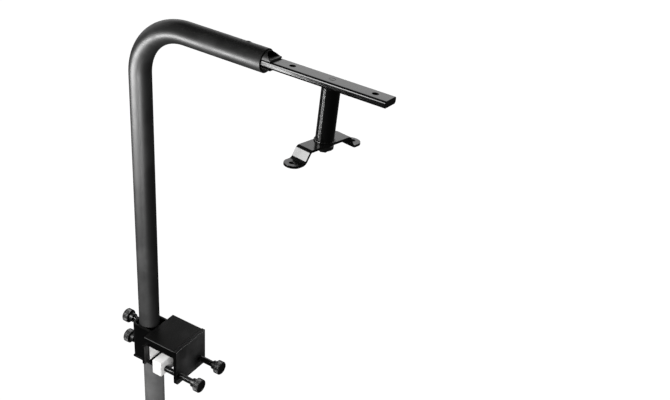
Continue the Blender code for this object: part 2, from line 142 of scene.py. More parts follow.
class StandClampSizes(PropertyGroup):
    plate: length("Plate", "Thickness of the folded plates", 4 * MM)
    socket_bend: length("Socket corner", "Outer radius of the socket's two back corners", 9 * MM)
    top_bend: length("Top corner", "Outer radius where the top plate folds down", 2.67 * MM)
    plate_corner: length("Plate corner", "Rounding of the outer plate's lower corners", 4.5 * MM)
    edge: length("Edge rounding", "Softening of the plates' edges", 0.55 * MM)
    screw_hole: length("Screw hole", "Hole for a clamp screw", 10.2 * MM)
    screw_y: length("Screw spacing", "Distance of each jaw screw from the middle", 25.4 * MM)
    screw_drop: length("Screw drop", "Depth of the jaw screws below the clamp's top", 52 * MM)
    bead: length("Weld bead", "Radius of the weld beads on the clamp", 1.5 * MM)


class StandScrewSizes(PropertyGroup):
    diameter: length("Screw diameter", "Outer diameter of the thread", 9.5 * MM)
    pitch: length("Pitch", "Distance between threads", 1.5875 * MM)
    depth: length("Thread depth", "Depth of the thread", 0.75 * MM)
    point: length("Screw point", "Height of the screw's pointed end", 1.4 * MM)
    knob: length("Knob diameter", "Diameter over the knob's ribs", 21.5 * MM)
    knob_height: length("Knob height", "Height of the knob's ribbed head", 10 * MM)
    neck: length("Knob neck", "Diameter of the knob's neck", 14 * MM)
    neck_height: length("Neck height", "Height of the knob's neck", 6.5 * MM)
    rib_depth: length("Rib depth", "Depth of the grooves between ribs", 0.75 * MM)
    knob_shoulder: length("Knob shoulder", "Bevel at the foot of the knob's head", 0.9 * MM)
    knob_crown: length("Knob crown", "Bevel at the top of the knob's head", 1.1 * MM)
    knob_rim: length("Knob rim", "Distance of the face's dish from the knob's edge", 2.6 * MM)
    dish: length("Dish", "Depth of the dish in the knob's face", 0.7 * MM)
    ribs: IntProperty(name="Ribs", description="Number of ribs round a knob", default=36, min=8)


class StandHeadSizes(PropertyGroup):
    bar_width: length("Bar width", "Width of the flat bar", 26.9 * MM)
    bar_thickness: length("Bar thickness", "Thickness of the flat bar", 9.2 * MM)
    bar_round: length("Bar rounding", "Rounding of the bar's long edges", 3.2 * MM)
    holes: FloatVectorProperty(
        name="Bar holes",
        description="Places of the bar's holes along the arm",
        default=(244.2 * MM, 301.2 * MM, 361.0 * MM),
        size=3,
        subtype="XYZ",
        unit="LENGTH",
    )
    hole: length("Hole", "Diameter of the bar's holes", 8.5 * MM)
    roll: angle("Head roll", "Turn of the head about the arm", -6.2)
    yaw: angle("Cradle turn", "Turn of the cradle about its own axis", -9)
    stub: length("Stub diameter", "Outer diameter of the stub under the bar", 23.6 * MM)
    stub_wall: length("Stub wall", "Wall of the stub", 2.6 * MM)
    shelf_drop: length("Shelf drop", "Depth of the shelf below the middle of the bar", 75.5 * MM)
    strap_width: length("Strap width", "Width of the cradle's strap", 23 * MM)
    strap: length("Strap thickness", "Thickness of the cradle's strap", 3.4 * MM)
    shelf_half: length("Half shelf", "Half the length of the shelf", 37.5 * MM)
    foot_start: length("Foot start", "Where each foot starts, from the middle", 46 * MM)
    foot_round: length("Foot centre", "Centre of each foot's round end, from the middle", 54.5 * MM)
    foot_hole_place: length("Foot hole place", "Distance of each foot's hole from the middle", 57 * MM)
    foot_drop: length("Foot drop", "Depth of the feet below the shelf", 14.6 * MM)
    foot_hole: length("Foot hole", "Diameter of the feet's holes", 6.6 * MM)
    fold: length("Fold", "Rounding of the strap's folds", 3.2 * MM)
    bead: length("Stub bead", "Radius of the weld bead at the stub's foot", 1.7 * MM)
    bolt: length("Bolt", "Diameter of the bolt", 8 * MM)
    bolt_hole: length("Bolt hole", "Hole for the bolt in the strap and the washer", 8.8 * MM)
    bolt_head: length("Bolt head", "Width of the bolt's head across its corners", 14.4 * MM)
    bolt_head_height: length("Bolt head height", "Height of the bolt's head", 3.4 * MM)
    washer: length("Washer", "Diameter of the washer", 24.4 * MM)
    washer_height: length("Washer height", "Thickness of the washer", 6 * MM)
    filler_wall: length("Filler wall", "Wall of the fillers round the bar in the arm's mouth", 2.4 * MM)
    filler_start: length("Filler start", "Where the fillers start inside the arm", 140 * MM)
    filler_top: length("Filler top", "Where the fillers' slope starts", 208 * MM)
    filler_foot: length("Filler foot", "Where the fillers' slope meets the bar", 220 * MM)


class StandColours(PropertyGroup):
    powder: colour("Powder coat", "Arm's textured black powder coat", 0.004)
    satin: colour("Satin paint", "Clamp's satin black paint", 0.004)
    gloss: colour("Gloss paint", "Head's gloss black paint", 0.002)
    knob: colour("Knob", "Moulded black of the knobs", 0.012)
    grey: colour("Mast", "Mast's grey coat", 0.13)
    pale: colour("Jaw", "Pale nylon of the jaw and the pad", 0.72, 0.01)
    steel: colour("Screws", "Blackened steel of the screws and the bolt", 0.1)
    rubber: colour("Foot plug", "Black plug in the mast's foot", 0.02)
    worn: colour("Worn edge", "Bare metal where an edge is rubbed", 0.22)


class StandStage(PropertyGroup):
    azimuth: angle("Camera azimuth", "Turn of the camera round the stand", -30.17)
    elevation: angle("Camera elevation", "Height angle of the camera", 32.28)
    roll: angle("Camera roll", "Lean of the camera", -4.19)
    place: FloatVectorProperty(
        name="Camera place",
        description="Where the camera stands",
        default=(0.9011, -1.0041, 1.3815),
        size=3,
        subtype="XYZ",
        unit="LENGTH",
    )
    lens: FloatProperty(name="Lens", description="Focal length in millimetres", default=58.45, min=10)
    floor: colour("Floor", "Colour of the floor", 0.86)
    floor_bounce: share("Floor bounce", "Share of its light that the floor returns", 0.3)
    floor_glow: share("Floor glow", "Light that keeps the floor white", 0.92)
    backdrop: share("Backdrop", "Brightness of the wall behind the stand", 1.35)
    room: share("Room", "Brightness of the rest of the room", 0.05)


def tube():
    return bpy.context.scene.stand_tube


def clamp():
    return bpy.context.scene.stand_clamp


def screws():
    return bpy.context.scene.stand_screws


def head():
    return bpy.context.scene.stand_head


# Modelling by hand


def deselect():
    if bpy.context.mode != "OBJECT":
        bpy.ops.object.mode_set(mode="OBJECT")
    bpy.ops.object.select_all(action="DESELECT")


def take(obj):
    """Makes one object the only one that is selected, and the active one."""
    deselect()
    obj.select_set(True)
    bpy.context.view_layer.objects.active = obj


def named(name):
    obj = bpy.context.object
    obj.name = name
    obj.data.name = name
    return obj


def edit(obj):
    take(obj)
    bpy.ops.object.mode_set(mode="EDIT")
    bpy.ops.mesh.select_mode(type="VERT")
    bpy.ops.mesh.select_all(action="SELECT")


def done():
    bpy.ops.object.mode_set(mode="OBJECT")


def pick(test, kind="VERT"):
    """In edit mode, selects just the vertices, edges or faces that pass a test."""
    bpy.ops.mesh.select_all(action="DESELECT")
    bpy.ops.mesh.select_mode(type=kind)
    mesh = bpy.context.object.data
    bm = bmesh.from_edit_mesh(mesh)
    for item in {"VERT": bm.verts, "EDGE": bm.edges, "FACE": bm.faces}[kind]:
        if test(item):
            item.select_set(True)
    bm.select_flush_mode()
    bmesh.update_edit_mesh(mesh)


def push(x=0.0, y=0.0, z=0.0):
    bpy.ops.mesh.extrude_region_move(TRANSFORM_OT_translate={"value": (x, y, z)})


def widen(factor, centre):
    bpy.ops.transform.resize(value=(factor, factor, 1), center_override=centre)


def weld_mesh():
    """Merges what coincides and turns every face outwards."""
    bpy.ops.mesh.select_mode(type="VERT")
    bpy.ops.mesh.select_all(action="SELECT")
    bpy.ops.mesh.remove_doubles(threshold=TINY)
    bpy.ops.mesh.normals_make_consistent(inside=False)
    done()


def apply_last(obj):
    take(obj)
    bpy.ops.object.modifier_apply(modifier=obj.modifiers[-1].name)


def along_profile(profile):
    """Extrudes the selected ring through (radius, height) points, resizing it about Z."""
    for (radius, height), (next_radius, next_height) in zip(profile, profile[1:]):
        push(z=next_height - height)
        if abs(next_radius - radius) > TINY:
            widen(next_radius / radius, (0, 0, next_height))


def turned(name, profile, sides=48, hollow=False):
    """A shape turned round Z. A hollow one closes on its first ring."""
    deselect()
    radius, height = profile[0]
    fill = "NOTHING" if hollow else "NGON"
    bpy.ops.mesh.primitive_circle_add(vertices=sides, radius=radius, fill_type=fill, location=(0, 0, height))
    obj = named(name)
    edit(obj)
    along_profile(profile + profile[:1] if hollow else profile)
    weld_mesh()
    return obj


def block(name, low, high):
    deselect()
    low, high = Vector(low), Vector(high)
    bpy.ops.mesh.primitive_cube_add(size=1, location=(low + high) / 2, scale=high - low)
    obj = named(name)
    bpy.ops.object.transform_apply(location=True, rotation=True, scale=True)
    return obj


def rod(diameter, low, high, matrix=Matrix.Identity(4), sides=40):
    """A round cutter along Z of its own matrix."""
    deselect()
    middle = (0, 0, (low + high) / 2)
    bpy.ops.mesh.primitive_cylinder_add(
        vertices=sides, radius=diameter / 2, depth=high - low, location=middle
    )
    obj = named("cutter")
    obj.matrix_world = matrix @ obj.matrix_world
    return obj


def carve(obj, *cutters, operation="DIFFERENCE"):
    for cutter in cutters:
        modifier = obj.modifiers.new("carve", "BOOLEAN")
        modifier.operation = operation
        modifier.solver = "EXACT"
        modifier.object = cutter
        apply_last(obj)
        bpy.data.objects.remove(cutter, do_unlink=True)


def soften(obj, width, segments=2, limit=50):
    """Rounds every edge sharper than the limit."""
    modifier = obj.modifiers.new("soften", "BEVEL")
    modifier.width = width
    modifier.segments = segments
    modifier.limit_method = "ANGLE"
    modifier.angle_limit = math.radians(limit)
    apply_last(obj)


def thicken(obj, thickness, even=True):
    """Gives a sheet its wall, inwards."""
    modifier = obj.modifiers.new("wall", "SOLIDIFY")
    modifier.thickness = thickness
    modifier.offset = -1
    modifier.use_even_offset = even
    apply_last(obj)


def settle(obj, body, finish, *nodes, matrix=None):
    """Puts a finished piece in its place, gives it its finish and joins it to its body."""
    take(obj)
    if matrix:
        obj.matrix_world = matrix @ obj.matrix_world
        bpy.context.view_layer.update()
    bpy.ops.object.transform_apply(location=True, rotation=True, scale=True)
    bpy.ops.object.shade_smooth_by_angle(angle=SMOOTH_ANGLE)
    modifier = obj.modifiers.new("flat_faces", "WEIGHTED_NORMAL")
    modifier.keep_sharp = True
    apply_last(obj)
    obj.data.materials.clear()
    obj.data.materials.append(finish_material(finish))
    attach(obj, body)
    if nodes:
        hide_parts(*nodes)
    deselect()
    return obj


def along_x(x, y, z, facing=1):
    """Turns a shape's own Z to +X or -X at a point."""
    return Matrix.Translation((x, y, z)) @ Matrix.Rotation(facing * QUARTER, 4, "Y")


def head_axes():
    """The head's own axes: rolled about the arm, where the stub's axis meets the bar."""
    return Matrix.Translation((head().holes[1], 0, ARM_Z)) @ Matrix.Rotation(head().roll, 4, "X")


def cradle_axes():
    return head_axes() @ Matrix.Rotation(head().yaw, 4, "Z")


def ring_profile(outer, inner, low, high, corner):
    """Section of a ring with softened corners, from its foot up the outside and down the inside."""
    return [
        (outer - corner, low),
        (outer, low + corner),
        (outer, high - corner),
        (outer - corner, high),
        (inner + corner, high),
        (inner, high - corner),
        (inner, low + corner),
        (inner + corner, low),
    ]


def threaded(name, reach):
    """A rod with a real thread along Z, flat at its outer end and pointed at its inner one."""
    s = screws()
    point = s.point
    root = s.diameter / 2 - s.depth
    deselect()
    bpy.ops.mesh.primitive_plane_add(size=s.pitch, location=(root, 0, -s.pitch))
    obj = named(name)
    bpy.ops.object.transform_apply(location=True, rotation=True, scale=True)
    edit(obj)
    bpy.ops.mesh.merge(type="CENTER")
    push(x=s.depth, z=s.pitch * THREAD_FLANK)
    push(z=s.pitch * THREAD_CREST)
    push(x=-s.depth, z=s.pitch * THREAD_FLANK)
    push(z=s.pitch * THREAD_ROOT)
    done()
    modifier = obj.modifiers.new("thread", "SCREW")
    modifier.screw_offset = s.pitch
    modifier.iterations = math.ceil(reach / s.pitch) + 2
    modifier.steps = 20
    modifier.render_steps = 20
    apply_last(obj)
    edit(obj)
    bpy.ops.mesh.remove_doubles(threshold=TINY)
    bpy.ops.mesh.normals_make_consistent(inside=False)
    bpy.ops.mesh.bisect(plane_co=(0, 0, reach), plane_no=(0, 0, 1), use_fill=True, clear_outer=True)
    bpy.ops.mesh.select_all(action="SELECT")
    bpy.ops.mesh.bisect(plane_co=(0, 0, point), plane_no=(0, 0, 1), use_fill=True, clear_inner=True)
    pick(lambda face: len(face.verts) > 4 and abs(face.calc_center_median().z - point) < TINY * 10, "FACE")
    push(z=-point)
    widen(0.66, (0, 0, 0))
    weld_mesh()
    return obj


def bead(name, span, radius, ripples=2.0):
    """A straight weld bead along Z with its ripples, rounded off at both ends."""
    steps = max(6, round(span / (radius * ripples * 0.5)))
    profile = [(radius * 0.4, 0)]
    for i in range(1, steps):
        profile.append((radius * (1.0 if i % 2 else 0.86), span * i / steps))
    profile.append((radius * 0.4, span))
    return turned(name, profile, 12)


# Finishes


def node(tree, kind, **settings):
    made = tree.nodes.new("ShaderNode" + kind)
    for name, value in settings.items():
        setattr(made, name, value)
    return made


def feed(tree, socket, value):
    """Links a socket to a source, or sets its own value."""
    if isinstance(value, bpy.types.NodeSocket):
        tree.links.new(value, socket)
    else:
        socket.default_value = value


def calc(tree, operation, first, second=0.0, third=0.0, clamped=False):
    made = node(tree, "Math", operation=operation, use_clamp=clamped)
    for socket, value in zip(made.inputs, (first, second, third)):
        feed(tree, socket, value)
    return made.outputs[0]


def spread(tree, value, low, high, to_low=0.0, to_high=1.0):
    made = node(tree, "MapRange", interpolation_type="SMOOTHSTEP")
    for socket, content in zip(made.inputs, (value, low, high, to_low, to_high)):
        feed(tree, socket, content)
    return made.outputs[0]


def noise(tree, place, scale, detail=3.0, rough=0.55):
    made = node(tree, "TexNoise")
    feed(tree, made.inputs["Vector"], place)
    feed(tree, made.inputs["Scale"], scale)
    feed(tree, made.inputs["Detail"], detail)
    feed(tree, made.inputs["Roughness"], rough)
    return made.outputs["Fac"]


def new_group(name, inputs, outputs):
    """A shader node group with named number sockets; returns the tree and its two end nodes."""
    tree = bpy.data.node_groups.new(name, "ShaderNodeTree")
    for label, default in inputs.items():
        socket = tree.interface.new_socket(label, in_out="INPUT", socket_type="NodeSocketFloat")
        socket.default_value = default
    for label in outputs:
        tree.interface.new_socket(label, in_out="OUTPUT", socket_type="NodeSocketFloat")
    return tree, tree.nodes.new("NodeGroupInput"), tree.nodes.new("NodeGroupOutput")


def build_coat_grain():
    """Fine pimples of a sprayed or moulded surface, with their light flecks."""
    tree, start, end = new_group("coat_grain", {"Scale": 900.0, "Threshold": 0.62}, ("Height", "Fleck"))
    place = node(tree, "TexCoord").outputs["Object"]
    coarse = noise(tree, place, start.outputs["Scale"], 2.0)
    fine = noise(tree, place, calc(tree, "MULTIPLY", start.outputs["Scale"], 2.3), 2.0)
    height = calc(tree, "ADD", calc(tree, "MULTIPLY", coarse, 0.65), calc(tree, "MULTIPLY", fine, 0.45))
    tree.links.new(height, end.inputs["Height"])
    top = calc(tree, "ADD", start.outputs["Threshold"], 0.12)
    tree.links.new(spread(tree, coarse, start.outputs["Threshold"], top), end.inputs["Fleck"])
    return tree


def build_orange_peel():
    """Long, low waves of a thick gloss coat."""
    tree, start, end = new_group("orange_peel", {"Scale": 140.0}, ("Height",))
    place = node(tree, "TexCoord").outputs["Object"]
    tree.links.new(noise(tree, place, start.outputs["Scale"], 1.0, 0.4), end.inputs["Height"])
    return tree


def build_edge_rub():
    """Where the coat is rubbed along an edge, broken up into patches."""
    tree, start, end = new_group("edge_rub", {"Reach": 0.0006, "Amount": 0.5, "Scale": 160.0}, ("Mask",))
    rounded = node(tree, "Bevel", samples=4)
    tree.links.new(start.outputs["Reach"], rounded.inputs["Radius"])
    across = node(tree, "VectorMath", operation="DOT_PRODUCT")
    tree.links.new(rounded.outputs["Normal"], across.inputs[0])
    tree.links.new(node(tree, "NewGeometry").outputs["Normal"], across.inputs[1])
    edge = spread(tree, across.outputs["Value"], 0.995, 0.9)
    place = node(tree, "TexCoord").outputs["Object"]
    patches = spread(tree, noise(tree, place, start.outputs["Scale"], 4.0, 0.65), 0.44, 0.68)
    worn = calc(tree, "MULTIPLY", edge, patches)
    rubbed = calc(tree, "MULTIPLY", worn, start.outputs["Amount"], clamped=True)
    tree.links.new(rubbed, end.inputs["Mask"])
    return tree


def build_handling():
    """Broad smudges from hands, and the thin dust that settles on upward faces."""
    tree, start, end = new_group("handling", {"Scale": 14.0, "Dust": 0.3}, ("Smudge", "Dust"))
    place = node(tree, "TexCoord").outputs["Object"]
    broad = noise(tree, place, start.outputs["Scale"], 5.0, 0.6)
    tree.links.new(spread(tree, broad, 0.38, 0.66), end.inputs["Smudge"])
    up = node(tree, "SeparateXYZ")
    tree.links.new(node(tree, "NewGeometry").outputs["Normal"], up.inputs[0])
    facing = spread(tree, up.outputs["Z"], 0.35, 1.0)
    fine = calc(tree, "MULTIPLY", start.outputs["Scale"], 60.0)
    specks = spread(tree, noise(tree, place, fine, 3.0), 0.5, 0.72)
    settled = calc(tree, "MULTIPLY", facing, specks)
    dust = calc(tree, "MULTIPLY", settled, start.outputs["Dust"], clamped=True)
    tree.links.new(dust, end.inputs["Dust"])
    return tree


def build_drawn_lines():
    """Fine lines along Z left by drawing or wiping a tube."""
    tree, start, end = new_group("drawn_lines", {"Scale": 500.0, "Stretch": 0.03}, ("Height", "Line"))
    place = node(tree, "TexCoord").outputs["Object"]
    shape = node(tree, "CombineXYZ")
    feed(tree, shape.inputs[0], 1.0)
    feed(tree, shape.inputs[1], 1.0)
    tree.links.new(start.outputs["Stretch"], shape.inputs[2])
    stretched = node(tree, "VectorMath", operation="MULTIPLY")
    tree.links.new(place, stretched.inputs[0])
    tree.links.new(shape.outputs[0], stretched.inputs[1])
    lines = noise(tree, stretched.outputs[0], start.outputs["Scale"], 2.0)
    tree.links.new(lines, end.inputs["Height"])
    tree.links.new(spread(tree, lines, 0.58, 0.72), end.inputs["Line"])
    return tree


GROUPS = {
    "coat_grain": build_coat_grain,
    "orange_peel": build_orange_peel,
    "edge_rub": build_edge_rub,
    "handling": build_handling,
    "drawn_lines": build_drawn_lines,
}

# Colour, roughness and specular; grain scale and depth in mm; shares of flecks, rub, smudges and lines
FINISHES = {
    "powder_black": dict(
        colour="powder", rough=0.46, specular=0.5, grain=820.0, depth=0.075, fleck=0.35, rub=0.25, smudge=0.05
    ),
    "satin_black": dict(
        colour="satin", rough=0.36, specular=0.42, grain=1500.0, depth=0.02, fleck=0.1, rub=0.5, smudge=0.08
    ),
    "gloss_black": dict(
        colour="gloss", rough=0.16, specular=0.5, grain=2200.0, depth=0.004, rub=0.35, smudge=0.05, peel=0.03
    ),
    "knob_black": dict(
        colour="knob", rough=0.4, specular=0.5, grain=1800.0, depth=0.02, fleck=0.1, rub=0.4, smudge=0.08
    ),
    "mast_grey": dict(
        colour="grey", rough=0.5, specular=0.4, grain=900.0, depth=0.03, fleck=0.15, rub=0.3, smudge=0.06,
        lines=0.25,
    ),
    "jaw_pale": dict(
        colour="pale", rough=0.48, specular=0.45, grain=1200.0, depth=0.02, fleck=0.05, smudge=0.1
    ),
    "dark_steel": dict(
        colour="steel", rough=0.34, specular=0.5, metal=0.85, grain=2500.0, depth=0.008, fleck=0.1, rub=0.5,
        smudge=0.1,
    ),
    "plug_black": dict(
        colour="rubber", rough=0.6, specular=0.4, grain=700.0, depth=0.05, fleck=0.1, smudge=0.05
    ),
}
DUST = {"powder_black": 0.2, "satin_black": 0.25, "gloss_black": 0.12}


def placed(tree, name, **inputs):
    """One of the shared groups in a material, with its own values."""
    group = bpy.data.node_groups.get(name) or GROUPS[name]()
    made = node(tree, "Group", node_tree=group)
    for label, value in inputs.items():
        made.inputs[label].default_value = value
    return made.outputs


def mixed(tree, share, first, second):
    made = node(tree, "Mix", data_type="RGBA", blend_type="MIX")
    feed(tree, made.inputs["Factor"], share)
    feed(tree, made.inputs[6], first)
    feed(tree, made.inputs[7], second)
    return made.outputs[2]


def finish_material(name):
    """The procedural finish of one kind of surface, made once."""
    found = bpy.data.materials.get("stand_" + name)
    if found:
        return found
    look = FINISHES[name]
    colours = bpy.context.scene.stand_colours
    base = Vector(getattr(colours, look["colour"]))
    made = bpy.data.materials.new("stand_" + name)
    made.use_nodes = True
    tree = made.node_tree
    shader = tree.nodes["Principled BSDF"]
    shader.inputs["Specular IOR Level"].default_value = look["specular"]
    shader.inputs["Metallic"].default_value = look.get("metal", 0.0)
    grain = placed(tree, "coat_grain", Scale=look["grain"])
    hands = placed(tree, "handling", Dust=DUST.get(name, 0.1))
    paint = mixed(tree, hands["Smudge"], (*base, 1), (*(base * 1.4 + Vector((1, 1, 1)) * 0.0008), 1))
    flecks = calc(tree, "MULTIPLY", grain["Fleck"], look.get("fleck", 0.0))
    paint = mixed(tree, flecks, paint, (*(base * 2.2 + Vector((1, 1, 1)) * 0.006), 1))
    clean, touched = look["rough"] - look["smudge"], look["rough"] + look["smudge"]
    roughness = spread(tree, hands["Smudge"], 0.0, 1.0, clean, touched)
    if look.get("lines"):
        lines = placed(tree, "drawn_lines")
        paint = mixed(tree, calc(tree, "MULTIPLY", lines["Line"], look["lines"]), paint, (*(base * 0.55), 1))
    paint = mixed(tree, hands["Dust"], paint, DUST_COLOUR)
    if look.get("rub"):
        rub = placed(tree, "edge_rub", Amount=look["rub"])
        paint = mixed(tree, rub["Mask"], paint, (*colours.worn, 1))
        roughness = calc(tree, "SUBTRACT", roughness, calc(tree, "MULTIPLY", rub["Mask"], 0.1))
    roughness = calc(tree, "ADD", roughness, calc(tree, "MULTIPLY", hands["Dust"], 0.3))
    tree.links.new(paint, shader.inputs["Base Color"])
    tree.links.new(roughness, shader.inputs["Roughness"])
    bump = node(tree, "Bump")
    bump.inputs["Distance"].default_value = look["depth"] * MM
    bump.inputs["Strength"].default_value = 1.0
    tree.links.new(grain["Height"], bump.inputs["Height"])
    if look.get("peel"):
        peel = placed(tree, "orange_peel")
        waves = node(tree, "Bump")
        waves.inputs["Distance"].default_value = look["peel"] * MM
        tree.links.new(peel["Height"], waves.inputs["Height"])
        tree.links.new(waves.outputs[0], bump.inputs["Normal"])
    tree.links.new(bump.outputs[0], shader.inputs["Normal"])
    return made


ARM = ("arm", "set_screw_cup")
BAR = ("bar", "bolt_end", "upper_filler", "lower_filler")
STUB = ("stub", "stub_bead", "washer", "bolt")
STRAP = ("strap",)
BOX = ("socket", "socket_base", "clamp_lid", "inner_wall", "near_cheek_bead", "far_cheek_bead")
PLATE = ("screw_plate",)
THREADS = ("near_jaw_thread", "far_jaw_thread", "upper_lock_thread", "lower_lock_thread")
GRIPS = ("near_jaw_grip", "far_jaw_grip", "upper_lock_grip", "lower_lock_grip")
PALE = ("jaw", "pad")
MAST = ("mast", "foot_plug")
# pieces lit, place, target, size, power in watts
SOFTBOXES = {
    "arm_strip": (ARM, (0.52, -1.15, 0.46), (0, 0, 0.7), (0.16, 0.4), 30),
    "arm_under": (ARM, (-0.39, -0.73, 0.38), (0.15, 0, 0.8), (0.9, 0.12), 20),
    "head_left_strip": (BAR + STUB, (-0.98, -0.96, 0.45), (0.3, 0, 0.6), (0.1, 1.0), 7),
    "head_near_strip": (BAR + STUB, (-0.62, -1.39, 0.42), (0.3, 0, 0.6), (0.07, 0.9), 5),
    "key_box": (
        BAR + STUB + STRAP + THREADS + GRIPS + PALE + MAST, (-1.1, -1.7, 1.7), (0.1, 0, 0.4), (1.2, 1.2), 70
    ),
    "box_key": (BOX + PLATE, (-1.1, -1.7, 1.7), (0.1, 0, 0.4), (1.2, 1.2), 22),
    "pad_fill": (PALE, (0.9, -0.8, 0.75), (0.03, 0, 0.26), (0.5, 0.5), 14),
    "plate_fill": (PLATE, (1.1, 0.3, -0.15), (0.08, 0, 0.27), (0.9, 0.7), 60),
    "mast_fill": (MAST, (1.2, -0.7, 0.5), (0, 0, 0.15), (0.8, 0.8), 14),
}

# Pieces


class STAND_OT_arm(Operator):
    """Bent tube arm with its set screw"""

    bl_idname = "stand.arm"
    bl_label = "Arm"

    def execute(self, context):
        t = tube()
        deselect()
        bpy.ops.mesh.primitive_circle_add(vertices=72, radius=TUBE_R, location=(0, 0, ARM_LOW.z))
        arm = named("arm")
        bpy.ops.object.transform_apply(location=True, rotation=True, scale=True)
        edit(arm)
        rise = ARM_Z - t.bend_radius - ARM_LOW.z
        for _ in range(6):
            push(z=rise / 6)
        centre = (t.bend_radius, 0, ARM_Z - t.bend_radius)
        bpy.ops.mesh.spin(steps=28, angle=QUARTER, center=centre, axis=(0, -1, 0))
        run = ARM_HIGH.x - t.bend_radius
        for _ in range(3):
            push(x=run / 3)
        weld_mesh()
        thicken(arm, t.wall)
        tilt = Matrix.Translation((t.set_screw_x, 0, ARM_Z)) @ Matrix.Rotation(t.set_screw_tilt, 4, "X")
        carve(arm, rod(t.set_screw_hole, TUBE_R / 2, TUBE_R + OVER, tilt, 24))
        soften(arm, t.rim_round, 2, 60)
        settle(arm, "arm", "powder_black", "arm_tube")

        outer, bore = t.set_screw / 2, t.set_screw_socket / 2
        crown = TUBE_R + t.set_screw_proud
        bevel, lip = 0.3 * MM, 0.1 * MM
        grub = [(outer, TUBE_R - t.wall), (outer, crown - bevel), (outer - bevel, crown), (bore + lip, crown)]
        grub += [(bore, crown - lip), (bore, crown - t.set_screw_depth)]
        screw = turned("set_screw_cup", grub, 24)
        settle(screw, "arm", "dark_steel", "set_screw", matrix=tilt)
        return {"FINISHED"}


class STAND_OT_head_bar(Operator):
    """Flat head bar with its rounded edges and three holes"""

    bl_idname = "stand.head_bar"
    bl_label = "Head bar"

    def execute(self, context):
        h = head()
        middle = h.holes[1]
        half_w, half_t = h.bar_width / 2, h.bar_thickness / 2
        low = (BAR_LOW.x - middle, -half_w, -half_t)
        high = (BAR_HIGH.x - middle, half_w, half_t)
        bar = block("bar", low, high)
        edit(bar)
        pick(lambda edge: abs(edge.verts[0].co.x - edge.verts[1].co.x) > 0.1, "EDGE")
        bpy.ops.mesh.bevel(offset=h.bar_round, segments=6, affect="EDGES")
        done()
        for place in h.holes:
            carve(bar, rod(h.hole, -2 * half_t, 2 * half_t, Matrix.Translation((place - middle, 0, 0))))
        soften(bar, EDGES["bar"] * MM, 3, 60)
        settle(bar, "head", "gloss_black", "head_bar", matrix=head_axes())
        for name, flip in (("upper", 0.0), ("lower", math.pi)):
            self.filler(name, h, Matrix.Rotation(flip, 4, "X"))
        return {"FINISHED"}

    def filler(self, name, h, flip):
        """A hollow half-round that fills the arm's mouth and slopes down to the bar."""
        deselect()
        middle = h.holes[1]
        radius = TUBE_R - tube().wall - GAP
        flat = h.bar_thickness / 2 + GAP
        run = h.filler_foot - h.filler_start
        bpy.ops.mesh.primitive_cylinder_add(
            vertices=72, radius=radius, depth=run, rotation=(0, QUARTER, 0),
            location=(h.filler_start + run / 2 - middle, 0, 0),
        )
        filler = named(name + "_filler")
        bpy.ops.object.transform_apply(location=True, rotation=True, scale=True)
        edit(filler)
        bpy.ops.mesh.bisect(plane_co=(0, 0, flat), plane_no=(0, 0, 1), use_fill=True, clear_inner=True)
        lean = math.atan2(radius - flat, h.filler_foot - h.filler_top)
        foot, slope = (h.filler_foot - middle, 0, flat), (math.sin(lean), 0, math.cos(lean))
        bpy.ops.mesh.select_all(action="SELECT")
        bpy.ops.mesh.bisect(plane_co=foot, plane_no=slope, use_fill=True, clear_outer=True)
        bpy.ops.mesh.select_all(action="SELECT")
        bpy.ops.mesh.normals_make_consistent(inside=False)
        pick(lambda face: abs(face.normal.x) > 0.5, "FACE")
        bpy.ops.mesh.delete(type="FACE")
        done()
        thicken(filler, h.filler_wall, False)
        soften(filler, EDGES["filler"] * MM, 2, 60)
        settle(filler, "head", "satin_black", name + "_shim", matrix=head_axes() @ flip)


